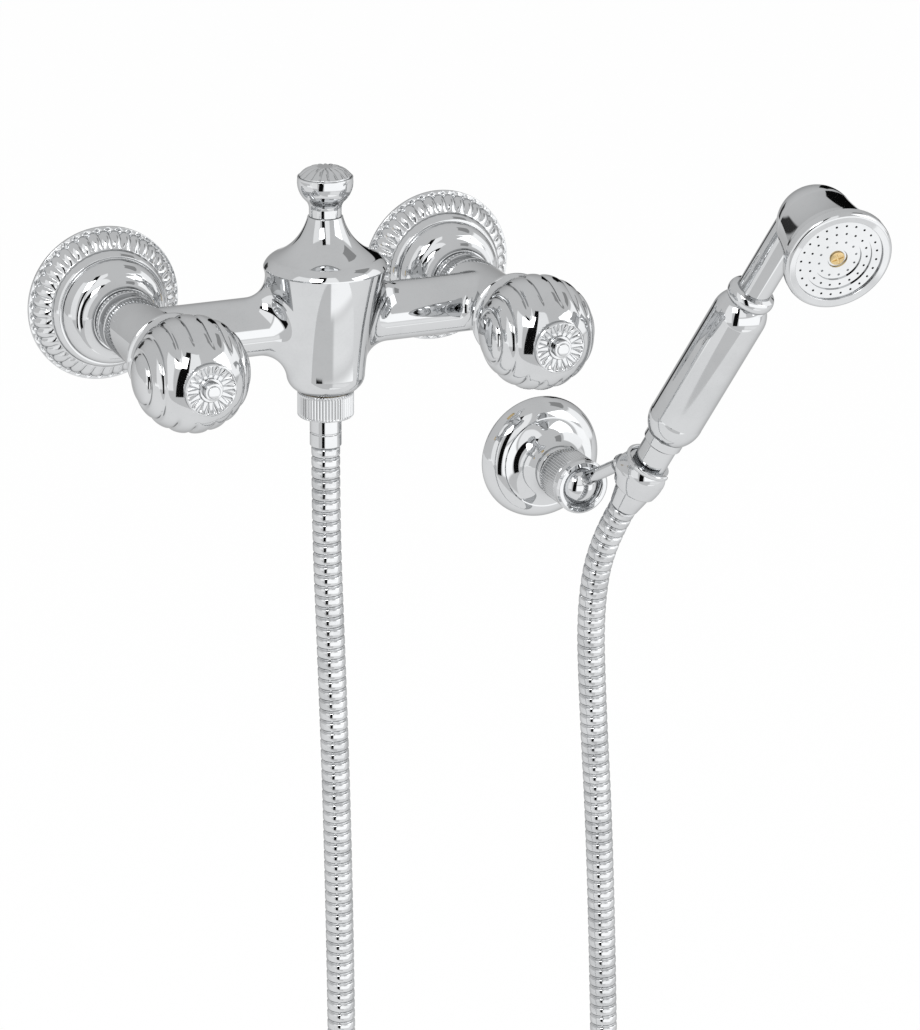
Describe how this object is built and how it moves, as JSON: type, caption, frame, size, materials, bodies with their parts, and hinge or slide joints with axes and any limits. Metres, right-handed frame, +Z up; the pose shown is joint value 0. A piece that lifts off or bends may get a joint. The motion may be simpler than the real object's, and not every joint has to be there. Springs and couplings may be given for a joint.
{
  "type": "wall-mounted shower mixer",
  "caption": "Classical wall shower mixer with cross arms, ribbed ball handles and finial, a hanging metal hose, and a hand shower on a swivelling wall bracket.",
  "frame": {"origin": "on the wall plane, midway between the two water pipes that the unions screw into", "axes": "+Z up, +Y into the wall, +X to the right as seen from the room"},
  "size_m": [0.3064, 0.1987, 0.6975],
  "materials": {
    "chrome": "polished",
    "hose_chrome": "polished, worn in the grooves",
    "brass": "turned",
    "steel": "zinc plated",
    "rubber": "matt",
    "white_plastic": "moulded",
    "ceramic": "lapped"
  },
  "bodies": {
    "wall_body": {"ball_socket": "chrome", "bracket_grub_screw": "steel", "bracket_rose": "chrome", "bracket_wall_plate": "steel", "finial": "chrome", "finial_cap": "chrome", "hose_ferrule": "chrome", "hose_nut": "chrome", "hose_washer": "rubber", "left_eccentric_union": "brass", "left_escutcheon": "chrome", "left_fixed_disc": "ceramic", "left_headwork": "chrome", "left_seat_washer": "rubber", "left_union_nut": "chrome", "left_union_washer": "rubber", "mixer_body": "chrome", "outlet_check_valve": "white_plastic", "outlet_nipple": "brass", "right_eccentric_union": "brass", "right_escutcheon": "chrome", "right_fixed_disc": "ceramic", "right_headwork": "chrome", "right_seat_washer": "rubber", "right_union_nut": "chrome", "right_union_washer": "rubber", "shower_hose": "hose_chrome"},
    "left_handle": {"left_moving_disc": "ceramic", "left_spindle": "brass", "left_spindle_seal": "rubber", "left_handle": "chrome", "left_handle_insert": "white_plastic", "left_handle_screw": "steel", "left_index_rosette": "chrome", "left_index_button": "chrome"},
    "right_handle": {"right_moving_disc": "ceramic", "right_spindle": "brass", "right_spindle_seal": "rubber", "right_handle": "chrome", "right_handle_insert": "white_plastic", "right_handle_screw": "steel", "right_index_rosette": "chrome", "right_index_button": "chrome"},
    "clamp_nut": {"ball_clamp_nut": "chrome"},
    "ball_seat": {"ball_seat": "white_plastic"},
    "arm": {"swivel_arm": "chrome", "cradle": "chrome"},
    "hose_end": {"hose_end_swivel": "brass"},
    "handset": {"hose_cone_nut": "chrome", "cone_washer": "rubber", "handset_coupling": "chrome", "handset_tube": "brass", "handset_grip": "chrome", "grip_collar": "chrome", "handset_head": "chrome", "spray_gasket": "rubber", "spray_plate": "chrome", "spray_ring": "chrome", "spray_screw": "brass"}
  },
  "joints": [
    {"name": "left_handle_turn", "type": "hinge", "parent": "wall_body", "child": "left_handle", "pos_m": [-0.075, -0.105, 0.008], "axis": [0, -1, 0], "range_deg": [0, 90]},
    {"name": "right_handle_turn", "type": "hinge", "parent": "wall_body", "child": "right_handle", "pos_m": [0.075, -0.105, 0.008], "axis": [0, -1, 0], "range_deg": [0, 90]},
    {"name": "clamp_nut_turn", "type": "hinge", "parent": "wall_body", "child": "clamp_nut", "pos_m": [0.1245, -0.04, -0.0843], "axis": [0, -1, 0], "range_deg": [0, 90]},
    {"name": "swivel_spin", "type": "hinge", "parent": "wall_body", "child": "ball_seat", "pos_m": [0.1245, -0.04, -0.0843], "axis": [0, -1, 0], "range_deg": [-30, 12], "deforming": ["shower_hose"]},
    {"name": "swivel_tilt", "type": "hinge", "parent": "ball_seat", "child": "arm", "pos_m": [0.1245, -0.04, -0.0843], "axis": [-0.9352, 0, 0.3541], "range_deg": [-30, 3], "deforming": ["shower_hose"]},
    {"name": "handset_lift", "type": "slide", "parent": "arm", "child": "hose_end", "axis": [0.2722, -0.4143, 0.8685], "range_m": [0, 0.045], "deforming": ["shower_hose"]},
    {"name": "handset_roll", "type": "hinge", "parent": "hose_end", "child": "handset", "pos_m": [0.1411, -0.078, -0.0643], "axis": [0.2722, -0.4143, 0.8685], "continuous": true}
  ]
}
